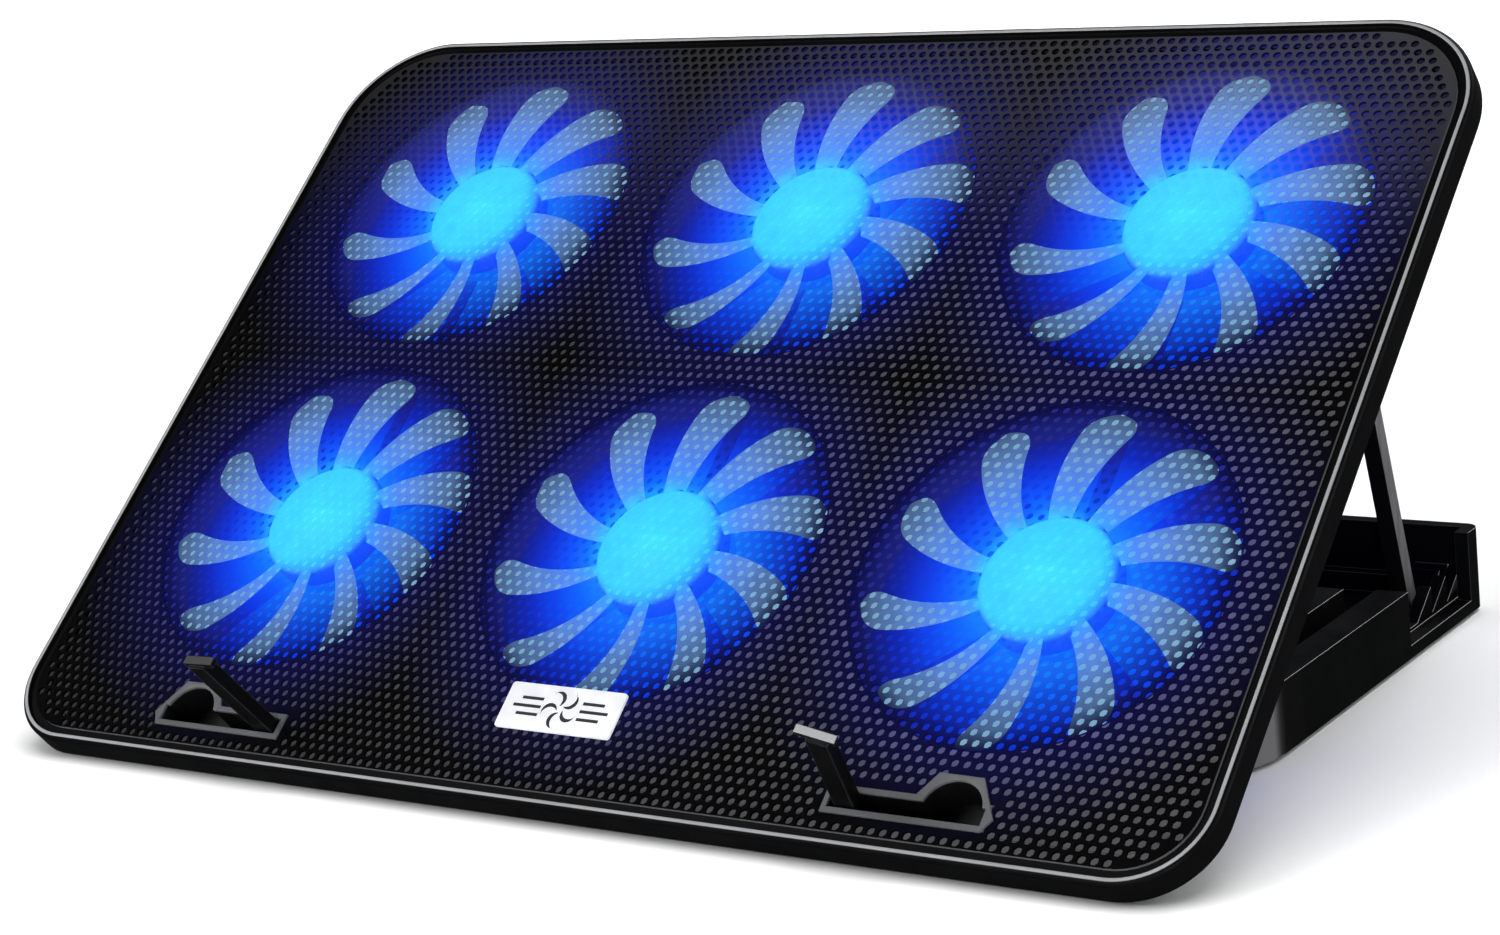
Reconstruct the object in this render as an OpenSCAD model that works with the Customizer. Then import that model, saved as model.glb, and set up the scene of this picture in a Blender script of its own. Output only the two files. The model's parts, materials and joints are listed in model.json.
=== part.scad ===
/* [Panel] */
// Width of the tilting panel over its rim
panel_w = 383; // [372:1:395]
// Depth of the tilting panel, measured along its slope
panel_d = 264; // [258:1:272]
// Height of the panel's edge band
edge_h = 8; // [7:0.5:9]
// Tilt of the panel when the prop stands in its first notch, in degrees
tilt = 39; // [36:0.5:41]
// Radius of the two front corners
front_r = 23.5; // [18:0.5:28]
// Radius of the two rear corners
rear_r = 32.5; // [28:0.5:36]
// Depth of the fan tray under the top face
tray_depth = 16; // [16:0.5:18]
// Thickness of the plastic walls
wall = 2; // [1.8:0.1:2.4]
// Thickness of the perforated sheet
mesh_t = 0.8; // [0.5:0.1:0.8]
// Width of the groove between the rim and the perforated sheet
groove_w = 2.4; // [1.5:0.1:3]

/* [Fans] */
// Number of fans across the panel
fan_cols = 3; // [3:1:3]
// Distance between fan columns
fan_pitch_x = 119; // [118:0.5:120]
// Distance between the two fan rows
fan_pitch_v = 114; // [113.5:0.5:115]
// Distance of the front fan row from the panel's front edge
fan_row_v = 83.5; // [83:0.5:84]
// Shift of the fan block to the right of the panel's centre line
fan_shift = 2.5; // [0:0.5:2.5]
// Radius over the blade tips
blade_r = 50.5; // [48:0.5:50.5]
// Radius of the rotor's hub
hub_r = 19; // [19:0.5:22]
// Number of blades on a rotor
blade_count = 10; // [7:1:11]
// Sweep of a blade's tip, in degrees
blade_sweep = 14; // [6:1:20]
// Turn of each rotor at rest, in degrees
blade_phase = 10; // [0:1:35]

/* [Stops] */
// Distance of each stop's hinge from the panel's centre line
stop_x = 93.4; // [92:0.2:96]
// Distance of the stops from the panel's front edge
stop_v = 13.2; // [13.2:0.1:13.6]
// Length of a stop from its pivot to its tip
stop_len = 38.5; // [34:0.5:38.5]
// Outward lean of the left stop, in degrees
lean_left = 4; // [0:1:30]
// Outward lean of the right stop, in degrees
lean_right = 13; // [0:1:30]

/* [Base] */
// Distance from the panel's front edge to the base's back
base_back = 235.2; // [233:0.1:238]
// Width of the base
base_w = 330; // [326:1:334]
// Height of the base's deck
deck_h = 20; // [16:0.5:20]
// Height of the base's rear wall
rear_wall_h = 24.6; // [20:0.2:24.6]
// Height of the rubber feet under the base
foot_h = 1.2; // [1:0.1:2]

/* [Prop] */
// Distance of the panel's hinge from its front edge
hinge_v = 48.4; // [48:0.1:49]
// Distance of the prop's pivot from the panel's front edge
prop_v = 214.6; // [213:0.1:216]
// Depth of both pivots under the top face
pivot_w = 20; // [20:0.1:20.4]
// Distance of the prop's foot from the panel's front edge, along the desk
prop_foot_y = 212.2; // [211.8:0.1:212.2]
// Height of the prop's foot
prop_foot_z = 5.5; // [5.5:0.1:5.8]
// Thickness of the prop's two arms
arm_t = 5; // [4:0.5:5]

/* [Hidden] */
$fn = 64;
eps = 0.01;

// The stops lean out over the front edge, so they set the front of the whole object.
pivot_depth = 6.5;
head_in = 6;
head_out = 4.5;
head_v = 2.4;
head_t = 1.6;
stop_top = stop_len * cos(lean_right) + head_in * sin(lean_right) - pivot_depth;
stop_reach = stop_top * sin(tilt) - (stop_v - head_v / 2) * cos(tilt);
y_shift = -(base_back - stop_reach) / 2;

// Layers of the panel, as depths under its top face.
ledge_w0 = 1.4;
ledge_w1 = 3.4;
mesh_w0 = ledge_w0 - mesh_t;
floor_w = tray_depth - wall;
flange_w = edge_h - wall;
rim_t = 2.2;
ledge_in = 9;
mesh_in = rim_t + groove_w;
flange_in = 2.5;
side_in = 12;
rear_in = 3.5;
deck_in = ledge_in + 0.3;
deck_w0 = ledge_w0 + 0.1;
deck_w1 = 2.5;
screen_t = 0.4;
screen_r = 46.9;

// Fans.
ring_r = blade_r + 1.5;
ring_t = 2;
spider_w = floor_w - 1.6;
ear_w0 = spider_w;
ear_r = 3.5;
ear_orbit = ring_r + ring_t + 2.6;
shaft_r = 1.5;
bush_clear = 0.05;
rotor_w0 = 3.2;
rotor_w1 = 11;
cap_t = 1.5;
blade_w0 = 4.2;
blade_t = 1.6;

// Control corner, on the rear wall of the tray.
dial_x = 59;
dial_v = panel_d - 8.1;
dial_r = 7.5;
dial_w0 = 8.6;
dial_t = 3;
spindle_r = 1.5;
pot_r = 2.4;
port_dx = 16;
port_w = 13.1;
port_h = 5.7;
port_d = 14;
port_w0 = 8.2;
board_w = floor_w - 1.6;

// Stop cups, drawn for the right side.
cup_t = 1.2;
cup_slot_x0 = stop_x - 3.6;
cup_slot_x1 = stop_x + 39.4;
cup_slot_v = 4.8;
cup_hole_x = stop_x + 30.1;
cup_hole_r = 8.5;
cup_hole_v = stop_v + 0.5;
cup_floor = 11.3;
stop_pin_r = 1;

// Hinge and prop.
knuckle_r = 3.6;
knuckle_x0 = 84;
knuckle_x1 = 96;
hinge_pin_r = 1.5;
prop_pin_r = 2;
arm_x0 = 149;
arm_x1 = arm_x0 + 5;
lug_gap = 1;
lug_t = 5;
hinge_y = hinge_v * cos(tilt) + pivot_w * sin(tilt);
hinge_z = edge_h * cos(tilt) + hinge_v * sin(tilt) - pivot_w * cos(tilt);
pivot_y = prop_v * cos(tilt) + pivot_w * sin(tilt);
pivot_z = edge_h * cos(tilt) + prop_v * sin(tilt) - pivot_w * cos(tilt);
prop_len = norm([prop_foot_y - pivot_y, prop_foot_z - pivot_z]);
prop_lean = atan2(prop_foot_y - pivot_y, pivot_z - prop_foot_z);
prop_foot_r = 3.3;
bar_drop = 16;

// Base, with y counted from the panel's front edge.
base_front = 73;
tongue_front = 55.2;
tongue_w = 220;
base_front_r = 33;
base_rear_r = 4;
deck_back = 182;
wing_back = 184;
rail_h = 4.8;
rear_wall_t = 4;
rear_wall_front = 226;
gap_x0 = arm_x0 - 2;
gap_x1 = arm_x1 + 2;
gap_front = 85.5;
gap_back = 212.7;
shell_t = 2.5;
plate_t = 2;
boss_r = 4;
screw_r = 1.4;
screw_spots = [[-128, 92], [128, 92], [-128, 170], [128, 170], [0, 66], [0, 170]];
foot_spots = [[-118, 84], [118, 84], [-136, 222], [136, 222]];
foot_r = 7.5;
foot_sink = 0.8;

// Panel space: x across, y up the slope from the front edge, z out of the top face.
module in_panel() {
    translate([0, y_shift, edge_h * cos(tilt)]) rotate([tilt, 0, 0]) children();
}

// Desk space: y counted from the panel's front edge, z up from the desk.
module in_desk() {
    translate([0, y_shift, 0]) children();
}

// A flat outline made into a layer between two depths under the top face.
module layer(w0, w1) {
    translate([0, 0, -w1]) linear_extrude(w1 - w0) children();
}

// A round bar along x, between two places.
module x_bar(r, x0, x1, y, z) {
    translate([x0, y, z]) rotate([0, 90, 0]) cylinder(r = r, h = x1 - x0);
}

module both_sides() {
    children();
    mirror([1, 0, 0]) children();
}

// A rounded rectangle, symmetric in x, with its own radius at the front and at the back.
module rounded(half_w, y0, y1, rf, rr) {
    translate([-half_w, y0 + rf]) square([2 * half_w, y1 - y0 - rf - rr]);
    translate([-half_w + rf, y0]) square([2 * (half_w - rf), rf + 1]);
    translate([-half_w + rr, y1 - rr - 1]) square([2 * (half_w - rr), rr + 1]);
    for (s = [-1, 1]) {
        translate([s * (half_w - rf), y0 + rf]) circle(r = rf, $fn = 96);
        translate([s * (half_w - rr), y1 - rr]) circle(r = rr, $fn = 96);
    }
}

module panel_outline(inset) {
    rounded(panel_w / 2 - inset, inset, panel_d - inset, front_r - inset, rear_r - inset);
}

module tray_outline(inset) {
    rounded(panel_w / 2 - side_in - inset, flange_in + inset, panel_d - rear_in - inset,
        16 - inset, 26 - inset);
}

function fan_place(i) = [fan_shift + ((i % fan_cols) - 1) * fan_pitch_x,
    fan_row_v + floor(i / fan_cols) * fan_pitch_v, 0];
function fan_turn(i) = i < fan_cols ? 0 : 180;

module at_fan(i) {
    translate(fan_place(i)) rotate([0, 0, fan_turn(i)]) children();
}

module each_fan() {
    for (i = [0 : 2 * fan_cols - 1]) at_fan(i) children();
}

module each_ear() {
    for (a = [30, 150, 270]) rotate([0, 0, a]) translate([ear_orbit, 0, 0]) children();
}

panel_screw_spots = [for (s = [-1, 1], v = [42, 132, 222]) [s * (panel_w / 2 - 7), v, 0]];

module top_frame() {
    color("#141416") in_panel() difference() {
        union() {
            difference() {
                layer(0, edge_h) panel_outline(0);
                layer(-1, ledge_w0) panel_outline(rim_t);
                layer(-1, edge_h + 1) panel_outline(ledge_in);
                layer(ledge_w1, edge_h + 1) panel_outline(rim_t);
            }
            for (p = panel_screw_spots) translate(p) layer(ledge_w1 - 0.5, flange_w) circle(r = 2.6);
        }
        for (p = panel_screw_spots) translate(p) layer(ledge_w0 + 1, edge_h + 1) circle(r = 1.25);
    }
}

// The cup's well, seen from above: a slot for the arm and a round finger hole.
module cup_well(grow) {
    translate([cup_slot_x0 - grow, stop_v - cup_slot_v / 2 - grow])
        square([cup_slot_x1 - cup_slot_x0 + 2 * grow, cup_slot_v + 2 * grow]);
    intersection() {
        translate([cup_hole_x, cup_hole_v]) circle(r = cup_hole_r + grow);
        translate([cup_slot_x0, stop_v - cup_slot_v / 2 - grow]) square([80, 30]);
    }
}

module cup_trim() {
    polygon([[stop_x - 5, stop_v - 3.9], [stop_x + 39.9, stop_v - 3.9], [stop_x + 42.2, stop_v - 0.2],
        [stop_x + 36, stop_v + 10.4], [stop_x + 23.6, stop_v + 10.5], [stop_x + 19.6, stop_v + 3.9],
        [stop_x - 5, stop_v + 3.9]]);
}

module mesh_grille() {
    color("#2b2c2f") in_panel() difference() {
        layer(mesh_w0, ledge_w0) panel_outline(mesh_in);
        both_sides() layer(-1, ledge_w0 + 1) cup_well(cup_t + 0.3);
    }
}

// A plate under the perforated sheet: it rests on the fan rings and hides what lies between them.
module fan_deck() {
    color("#0d0d0f") in_panel() difference() {
        layer(deck_w0, deck_w1) panel_outline(deck_in);
        each_fan() layer(-1, deck_w1 + 1) circle(r = ring_r);
        both_sides() layer(-1, deck_w1 + 1) cup_well(cup_t + 0.3);
    }
}

// A fine dust screen lies over each intake, in a shallow recess of the tray's floor.
module intake_screens() {
    color("#121216") in_panel() each_fan() layer(floor_w + 0.05, floor_w + 0.05 + screen_t)
        circle(r = screen_r);
}

// Air intake under one fan: three rings of slots, crossed by four bars.
module intake() {
    difference() {
        circle(r = 46);
        for (r = [23, 31, 39]) difference() {
            circle(r = r);
            circle(r = r == 23 ? 1 : r - 2);
        }
        circle(r = 2);
        for (a = [0, 90]) rotate(a) square([100, 4], center = true);
    }
}

// The tray's side profile, with its front sloped to clear the desk.
module tray_profile(inset) {
    rotate([90, 0, 90]) translate([0, 0, -panel_w / 2]) linear_extrude(panel_w)
        polygon([[flange_in + inset * 1.15, 1], [flange_in + inset * 1.15, -edge_h],
            [flange_in + tray_depth - edge_h + inset * 1.15 - inset, -tray_depth + inset],
            [panel_d, -tray_depth + inset], [panel_d, 1]]);
}

// An ear under the tray that carries a pivot bore.
module pivot_lug(x0, x1, v) {
    x_bar(knuckle_r, x0, x1, v, -pivot_w);
    translate([x0, v - knuckle_r + 0.2, -pivot_w]) cube([x1 - x0, 2 * knuckle_r - 0.4, pivot_w - floor_w - 0.5]);
}

module bottom_tray() {
    color("#101012") in_panel() difference() {
        union() {
            difference() {
                union() {
                    layer(flange_w, edge_h) panel_outline(flange_in);
                    intersection() {
                        layer(flange_w, tray_depth) tray_outline(0);
                        tray_profile(0);
                    }
                }
                intersection() {
                    layer(flange_w - 1, floor_w) tray_outline(wall);
                    tray_profile(wall);
                }
                each_fan() {
                    layer(floor_w - 1, tray_depth + 1) intake();
                    layer(floor_w - 1, floor_w + 0.5) circle(r = screen_r + 0.1);
                }
            }
            both_sides() {
                pivot_lug(knuckle_x0 - lug_gap - lug_t, knuckle_x0 - lug_gap, hinge_v);
                pivot_lug(knuckle_x1 + lug_gap, knuckle_x1 + lug_gap + lug_t, hinge_v);
                pivot_lug(arm_x0 - lug_gap - lug_t, arm_x0 - lug_gap, prop_v);
                pivot_lug(arm_x1 + lug_gap, arm_x1 + lug_gap + lug_t, prop_v);
            }
        }
        each_fan() each_ear() layer(floor_w - 1, tray_depth + 1) circle(r = 1.25);
        for (p = panel_screw_spots) translate(p) layer(flange_w - 1, edge_h + 1) circle(r = 1.5);
        for (s = [-1, 1]) translate([dial_x + s * port_dx, panel_d - rear_in, 0])
            layer(edge_h, floor_w) square([port_w + 0.4, 2 * wall + 1], center = true);
        translate([dial_x, panel_d - rear_in, 0])
            layer(dial_w0 - 0.4, dial_w0 + dial_t + 0.4) square([2 * dial_r, 2 * wall + 1], center = true);
        both_sides() {
            x_bar(hinge_pin_r + 0.02, knuckle_x0 - 10, knuckle_x1 + 10, hinge_v, -pivot_w);
            x_bar(prop_pin_r + 0.05, arm_x0 - 10, arm_x1 + 10, prop_v, -pivot_w);
        }
    }
}

module fan_frames() {
    color("#0c1a3c") in_panel() each_fan() difference() {
        union() {
            layer(deck_w1, floor_w) difference() {
                circle(r = ring_r + ring_t);
                circle(r = ring_r);
            }
            layer(spider_w, floor_w) circle(r = hub_r);
            for (a = [45, 135]) rotate([0, 0, a]) layer(spider_w, floor_w)
                square([2 * ring_r + 1, 4], center = true);
            layer(6, floor_w) circle(r = 4);
            each_ear() layer(ear_w0, floor_w) circle(r = ear_r);
        }
        layer(5, 12) circle(r = 3);
        each_ear() layer(11, floor_w + 1) circle(r = 1.3);
        translate([0, ring_r, 0]) layer(floor_w - 1, floor_w + 1) square([5, 8], center = true);
    }
}

module fan_bearings() {
    color("#b08d57") in_panel() each_fan() layer(6, 12) difference() {
        circle(r = 2.98);
        circle(r = shaft_r + bush_clear);
    }
}

module fan_stators() {
    color("#b0602c") in_panel() each_fan() {
        difference() {
            union() {
                for (k = [0 : 3]) rotate([0, 0, 45 + 90 * k]) translate([8, 0, 0])
                    layer(6.6, 11) square([9, 5.5], center = true);
                layer(7.4, 10.2) circle(r = 7);
                layer(7.8, 9.8) difference() {
                    circle(r = 16.5);
                    circle(r = 12);
                }
            }
            layer(6, 12) circle(r = 4.05);
        }
    }
}

// One blade seen from above: narrow at the hub, wide and rounded at its swept tip.
blade_steps = 10;
blade_root = 5.2;
blade_tip = 13.6;
tip_round = 3.8;
function blade_r_at(t) = hub_r - 1.2 + (blade_r - tip_round - hub_r + 1.2) * t;
function blade_half_at(t) = (blade_root + (blade_tip - blade_root) * t) / 2;
function blade_edge(t, side) = let (r = blade_r_at(t), a = blade_sweep * pow(t, 1.5),
    b = asin(side * blade_half_at(t) / r)) [r * sin(a + b), r * cos(a + b)];
function tip_point(k) = let (a = blade_sweep, q = 180 * k / 8, h = blade_tip / 2,
    r = blade_r - tip_round + tip_round * sin(q), b = asin(h * cos(q) / r)) [r * sin(a + b), r * cos(a + b)];

module blade_outline() {
    polygon(concat([for (k = [0 : blade_steps]) blade_edge(k / blade_steps, 1)],
        [for (k = [1 : 7]) tip_point(k)],
        [for (k = [blade_steps : -1 : 0]) blade_edge(k / blade_steps, -1)]));
}

module rotor(i) {
    color("#6fa8e8") in_panel() at_fan(i) difference() {
        union() {
            layer(rotor_w0, rotor_w0 + cap_t) circle(r = hub_r - 0.5);
            layer(rotor_w0, rotor_w0 + cap_t + 1) circle(r = 4);
            layer(rotor_w0 + 0.4, rotor_w1) difference() {
                circle(r = hub_r);
                circle(r = hub_r - wall);
            }
            for (k = [0 : blade_count - 1]) rotate([0, 0, blade_phase + 360 * k / blade_count])
                layer(blade_w0, blade_w0 + blade_t) blade_outline();
        }
        layer(rotor_w0 + 0.6, rotor_w1 + 1) circle(r = shaft_r);
    }
}

module rotor_shaft(i) {
    color("silver") in_panel() at_fan(i) layer(rotor_w0 + 0.6, 11.9) circle(r = shaft_r);
}

module led_lamps() {
    color("#40c8ff") in_panel() each_fan() for (a = [45 : 90 : 315]) rotate([0, 0, a])
        translate([34, 0, 0]) layer(10.2, spider_w) circle(r = 1.5);
}

module fan_wires() {
    color("#303036") in_panel() layer(floor_w - 0.8, floor_w) {
        row_gap = fan_row_v + fan_pitch_v / 2;
        translate([fan_shift - fan_pitch_x - 2, row_gap - 2.5]) square([2 * fan_pitch_x + 4, 5]);
        translate([dial_x, row_gap]) square([4, panel_d - 26.2 - row_gap]);
        for (c = [-1 : 1]) translate([fan_shift + c * fan_pitch_x - 2, fan_row_v + hub_r + 0.3])
            square([4, fan_pitch_v - 2 * hub_r - 0.6]);
    }
}

module fan_screws() {
    color("#8a8c90") in_panel() each_fan() each_ear() {
        layer(ear_w0 - 1.4, ear_w0) circle(r = 2.4);
        layer(ear_w0 - 1, 15.6) circle(r = 1.2);
    }
}

module control_board() {
    color("#1d5a34") in_panel() {
        layer(board_w, floor_w) translate([dial_x, 0]) {
            translate([-19, panel_d - 26]) square([44, 8]);
            translate([-8.6, panel_d - 19]) square([17.2, 12.8]);
        }
        translate([dial_x - 14, panel_d - 22, 0]) layer(board_w - 1.2, board_w + eps)
            square([6, 6], center = true);
        translate([dial_x + 18, panel_d - 22, 0]) layer(board_w - 4.8, board_w + eps) circle(r = 3);
    }
}

module usb_ports() {
    color("#b9bcc2") in_panel() for (s = [-1, 1]) translate([dial_x + s * port_dx, panel_d - 3.7, 0]) {
        difference() {
            translate([-port_w / 2, -port_d, -port_w0 - port_h]) cube([port_w, port_d, port_h]);
            translate([-port_w / 2 + 0.3, -port_d + 2, -port_w0 - port_h + 0.3])
                cube([port_w - 0.6, port_d, port_h - 0.6]);
        }
        translate([-5.5, -port_d + 1, -port_w0 - port_h / 2 - 1.9]) cube([11, port_d - 3, 1.8]);
    }
}

module dial_pot() {
    color("#55585e") in_panel() translate([dial_x, dial_v, 0]) {
        layer(dial_w0 + dial_t + 0.2, board_w) circle(r = pot_r);
        layer(dial_w0 - 0.4, dial_w0 + dial_t + 0.4) circle(r = spindle_r);
    }
}

module speed_dial() {
    color("#1a1a1d") in_panel() translate([dial_x, dial_v, 0]) layer(dial_w0, dial_w0 + dial_t)
        difference() {
            circle(r = dial_r);
            circle(r = spindle_r + 0.06);
            for (k = [0 : 23]) rotate(15 * k) translate([dial_r, 0]) rotate(45) square(0.8, center = true);
        }
}

module stop_cup() {
    difference() {
        union() {
            layer(-0.2, mesh_w0) cup_trim();
            layer(0, cup_floor + 1) cup_well(cup_t);
        }
        layer(-1, cup_floor) cup_well(0);
        translate([stop_x, 0, -pivot_depth]) rotate([-90, 0, 0]) cylinder(r = stop_pin_r, h = 2 * stop_v);
    }
}

module stop_cup_left() {
    color("#6a6c70") in_panel() mirror([1, 0, 0]) stop_cup();
}

module stop_cup_right() {
    color("#6a6c70") in_panel() stop_cup();
}

// A stop arm for the right side: hub on the pivot, arm, and a head that hooks inward.
module stop_arm(lean) {
    translate([stop_x, stop_v, -pivot_depth]) rotate([0, lean, 0]) difference() {
        union() {
            translate([0, 2, 0]) rotate([90, 0, 0]) cylinder(r = 3, h = 4);
            translate([-2.9, -2, 0]) cube([5.8, 4, stop_len - 1]);
            translate([-head_in, -head_v / 2, stop_len - head_t]) cube([head_in + head_out, head_v, head_t]);
        }
        translate([0, -5, 0]) rotate([-90, 0, 0]) cylinder(r = stop_pin_r + 0.05, h = 10);
    }
}

module stop_left() {
    color("#18181a") in_panel() mirror([1, 0, 0]) stop_arm(lean_left);
}

module stop_right() {
    color("#18181a") in_panel() stop_arm(lean_right);
}

module stop_pins() {
    pin_len = cup_slot_v + 2 * cup_t - 0.1;
    color("silver") in_panel() both_sides()
        translate([stop_x, stop_v - pin_len / 2, -pivot_depth]) rotate([-90, 0, 0])
            cylinder(r = stop_pin_r - 0.01, h = pin_len);
}

module badge() {
    color("#e4e6ea") in_panel() translate([0, 28.2, 0]) layer(mesh_w0 - 0.8, mesh_w0)
        rounded(19, -7.5, 7.5, 1.2, 1.2);
}

module panel_screws() {
    color("#8a8c90") in_panel() for (p = panel_screw_spots) translate(p) {
        layer(edge_h, edge_h + 1.5) difference() {
            circle(r = 2.6);
            for (a = [0, 90]) rotate(a) square([3, 0.7], center = true);
        }
        layer(ledge_w0 + 1.4, edge_h + 0.8) circle(r = 1.2);
    }
}

module hinge_pins() {
    color("silver") in_panel() both_sides()
        x_bar(hinge_pin_r, knuckle_x0 - lug_gap - lug_t - 1, knuckle_x1 + lug_gap + lug_t + 1, hinge_v, -pivot_w);
}

// Prop space: origin at the foot, z up along the arms towards the pivot.
module in_prop() {
    in_desk() translate([0, prop_foot_y, prop_foot_z]) rotate([prop_lean, 0, 0]) children();
}

module prop_frame() {
    color("#121214") in_prop() difference() {
        union() {
            both_sides() {
                translate([arm_x0, -arm_t / 2, 0]) cube([arm_x1 - arm_x0, arm_t, prop_len]);
                x_bar(knuckle_r, arm_x0, arm_x1, 0, prop_len);
            }
            translate([-arm_x0 - 1, -arm_t / 2 + 0.5, prop_len - bar_drop - 4])
                cube([2 * arm_x0 + 2, arm_t - 1, 8]);
        }
        both_sides() {
            x_bar(prop_pin_r + 0.02, arm_x0 - 1, arm_x1 + 1, 0, prop_len);
            x_bar(prop_foot_r, arm_x0 - 1, arm_x1 + 1, 0, 0);
        }
    }
}

module prop_shaft() {
    color("silver") in_prop() x_bar(prop_pin_r, -arm_x1 - 7.5, arm_x1 + 7.5, 0, prop_len);
}

module prop_feet() {
    color("#202022") in_prop() both_sides() x_bar(prop_foot_r, arm_x0, arm_x1, 0, 0);
}

module base_outline(inset) {
    rounded(base_w / 2 - inset, base_front + inset, base_back - inset,
        base_front_r - inset, base_rear_r - inset);
}

module tongue_outline(inset) {
    translate([-tongue_w / 2 + inset, tongue_front + inset]) square([tongue_w - 2 * inset, 30]);
}

// The slots that the prop's arms swing through.
module arm_gaps() {
    both_sides() {
        translate([gap_x0, gap_front])
            square([gap_x1 - gap_x0, gap_back + rail_h - foot_h - gap_front]);
    }
}

// The notches that the prop's feet stand in, as steps along each side.
module ratchet() {
    rise = 12.2;
    step = 5.9;
    translate([gap_x0 - 0.5, 0, 0]) rotate([90, 0, 90]) linear_extrude(gap_x1 - gap_x0 + 1)
        polygon([[gap_back, foot_h], [gap_back + rise, foot_h + rise],
            [gap_back + rise + 0.1, foot_h + rise - step], [gap_back + rise + step, foot_h + rise],
            [base_back - 2, foot_h + rise], [base_back - 2, foot_h]]);
}

// A toothed strip outside each arm, which shows how far the prop is set.
module tooth_strip() {
    tooth = 10.4;
    translate([gap_x1 + 0.4, 0, 0]) rotate([90, 0, 90]) linear_extrude(3.6)
        polygon(concat([[base_back - 2, foot_h], [wing_back + 8, foot_h], [wing_back + 8, rail_h + 1]],
            [for (k = [0 : 2], q = [0, 1]) [base_back - 35 + tooth * (k + q * 0.97), rail_h + 1 + q * 7.5]],
            [[base_back - 2, rail_h + 1]]));
}

module deck_cavity() {
    intersection() {
        union() {
            tongue_outline(shell_t);
            translate([-gap_x0 + shell_t, base_front + shell_t])
                square([2 * (gap_x0 - shell_t), deck_back - base_front - 2 * shell_t]);
        }
        union() {
            tongue_outline(shell_t);
            rounded(gap_x0 - shell_t, base_front + shell_t, deck_back - shell_t, 20, 3);
        }
    }
}

module at_screws() {
    for (p = screw_spots) translate([p[0], p[1], 0]) children();
}

module base_shell() {
    color("#17181a") in_desk() difference() {
        union() {
            difference() {
                union() {
                    translate([0, 0, foot_h]) linear_extrude(rail_h - foot_h) base_outline(0);
                    translate([0, 0, foot_h]) linear_extrude(deck_h - foot_h) {
                        intersection() {
                            base_outline(0);
                            translate([-base_w, 0]) square([2 * base_w, wing_back]);
                        }
                        tongue_outline(0);
                    }
                    translate([0, 0, foot_h]) linear_extrude(rear_wall_h - foot_h) difference() {
                        base_outline(0);
                        base_outline(rear_wall_t);
                        translate([-base_w, 0]) square([2 * base_w, rear_wall_front]);
                    }
                    translate([-gap_x0, base_back - rear_wall_t - 4, foot_h])
                        cube([2 * gap_x0, 5, 9]);
                }
                translate([0, 0, -1]) linear_extrude(60) arm_gaps();
                translate([-gap_x0, deck_back, rail_h]) cube([2 * gap_x0, wing_back - deck_back + 1, 60]);
                translate([0, 0, -1]) linear_extrude(deck_h - shell_t + 1) deck_cavity();
                both_sides() translate([gap_x1 + 2.5, 106, -1]) cube([4, 75, deck_h - shell_t + 1]);
            }
            both_sides() {
                ratchet();
                tooth_strip();
            }
            both_sides() {
                x_bar(knuckle_r - 0.1, knuckle_x0, knuckle_x1, hinge_y, hinge_z);
                translate([knuckle_x0, hinge_y - knuckle_r + 0.3, foot_h])
                    cube([knuckle_x1 - knuckle_x0, tongue_front - hinge_y + knuckle_r, hinge_z - foot_h]);
            }
            at_screws() translate([0, 0, foot_h + plate_t]) cylinder(r = boss_r, h = deck_h - foot_h - plate_t - 1);
        }
        both_sides() x_bar(hinge_pin_r + 0.06, knuckle_x0 - 1, knuckle_x1 + 1, hinge_y, hinge_z);
        at_screws() translate([0, 0, -1]) cylinder(r = screw_r + 0.05, h = 14);
        for (p = foot_spots) translate([p[0], p[1], -1]) cylinder(r = foot_r + 0.1, h = 1 + foot_h + foot_sink);
    }
}

module base_plate() {
    color("#0e0e10") in_desk() difference() {
        translate([0, 0, foot_h]) linear_extrude(plate_t) union() {
            translate([-tongue_w / 2 + shell_t + 0.3, tongue_front + shell_t + 0.3])
                square([tongue_w - 2 * shell_t - 0.6, 30]);
            rounded(gap_x0 - shell_t - 0.3, base_front + shell_t + 0.3, deck_back - shell_t - 0.3, 20, 3);
        }
        at_screws() translate([0, 0, -1]) cylinder(r = screw_r + 0.2, h = 10);
        for (p = foot_spots) translate([p[0], p[1], -1]) cylinder(r = foot_r + 0.1, h = 1 + foot_h + foot_sink);
    }
}

module base_feet() {
    color("#232325") in_desk() for (p = foot_spots) translate([p[0], p[1], 0])
        cylinder(r = foot_r, h = foot_h + foot_sink);
}

module base_screws() {
    color("#8a8c90") in_desk() at_screws() {
        translate([0, 0, 0.2]) difference() {
            cylinder(r = 2.8, h = foot_h - 0.2);
            for (a = [0, 90]) rotate(a) translate([-1.8, -0.4, -1]) cube([3.6, 0.8, 1.5]);
        }
        translate([0, 0, 0.9]) cylinder(r = screw_r, h = 11);
    }
}

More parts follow.
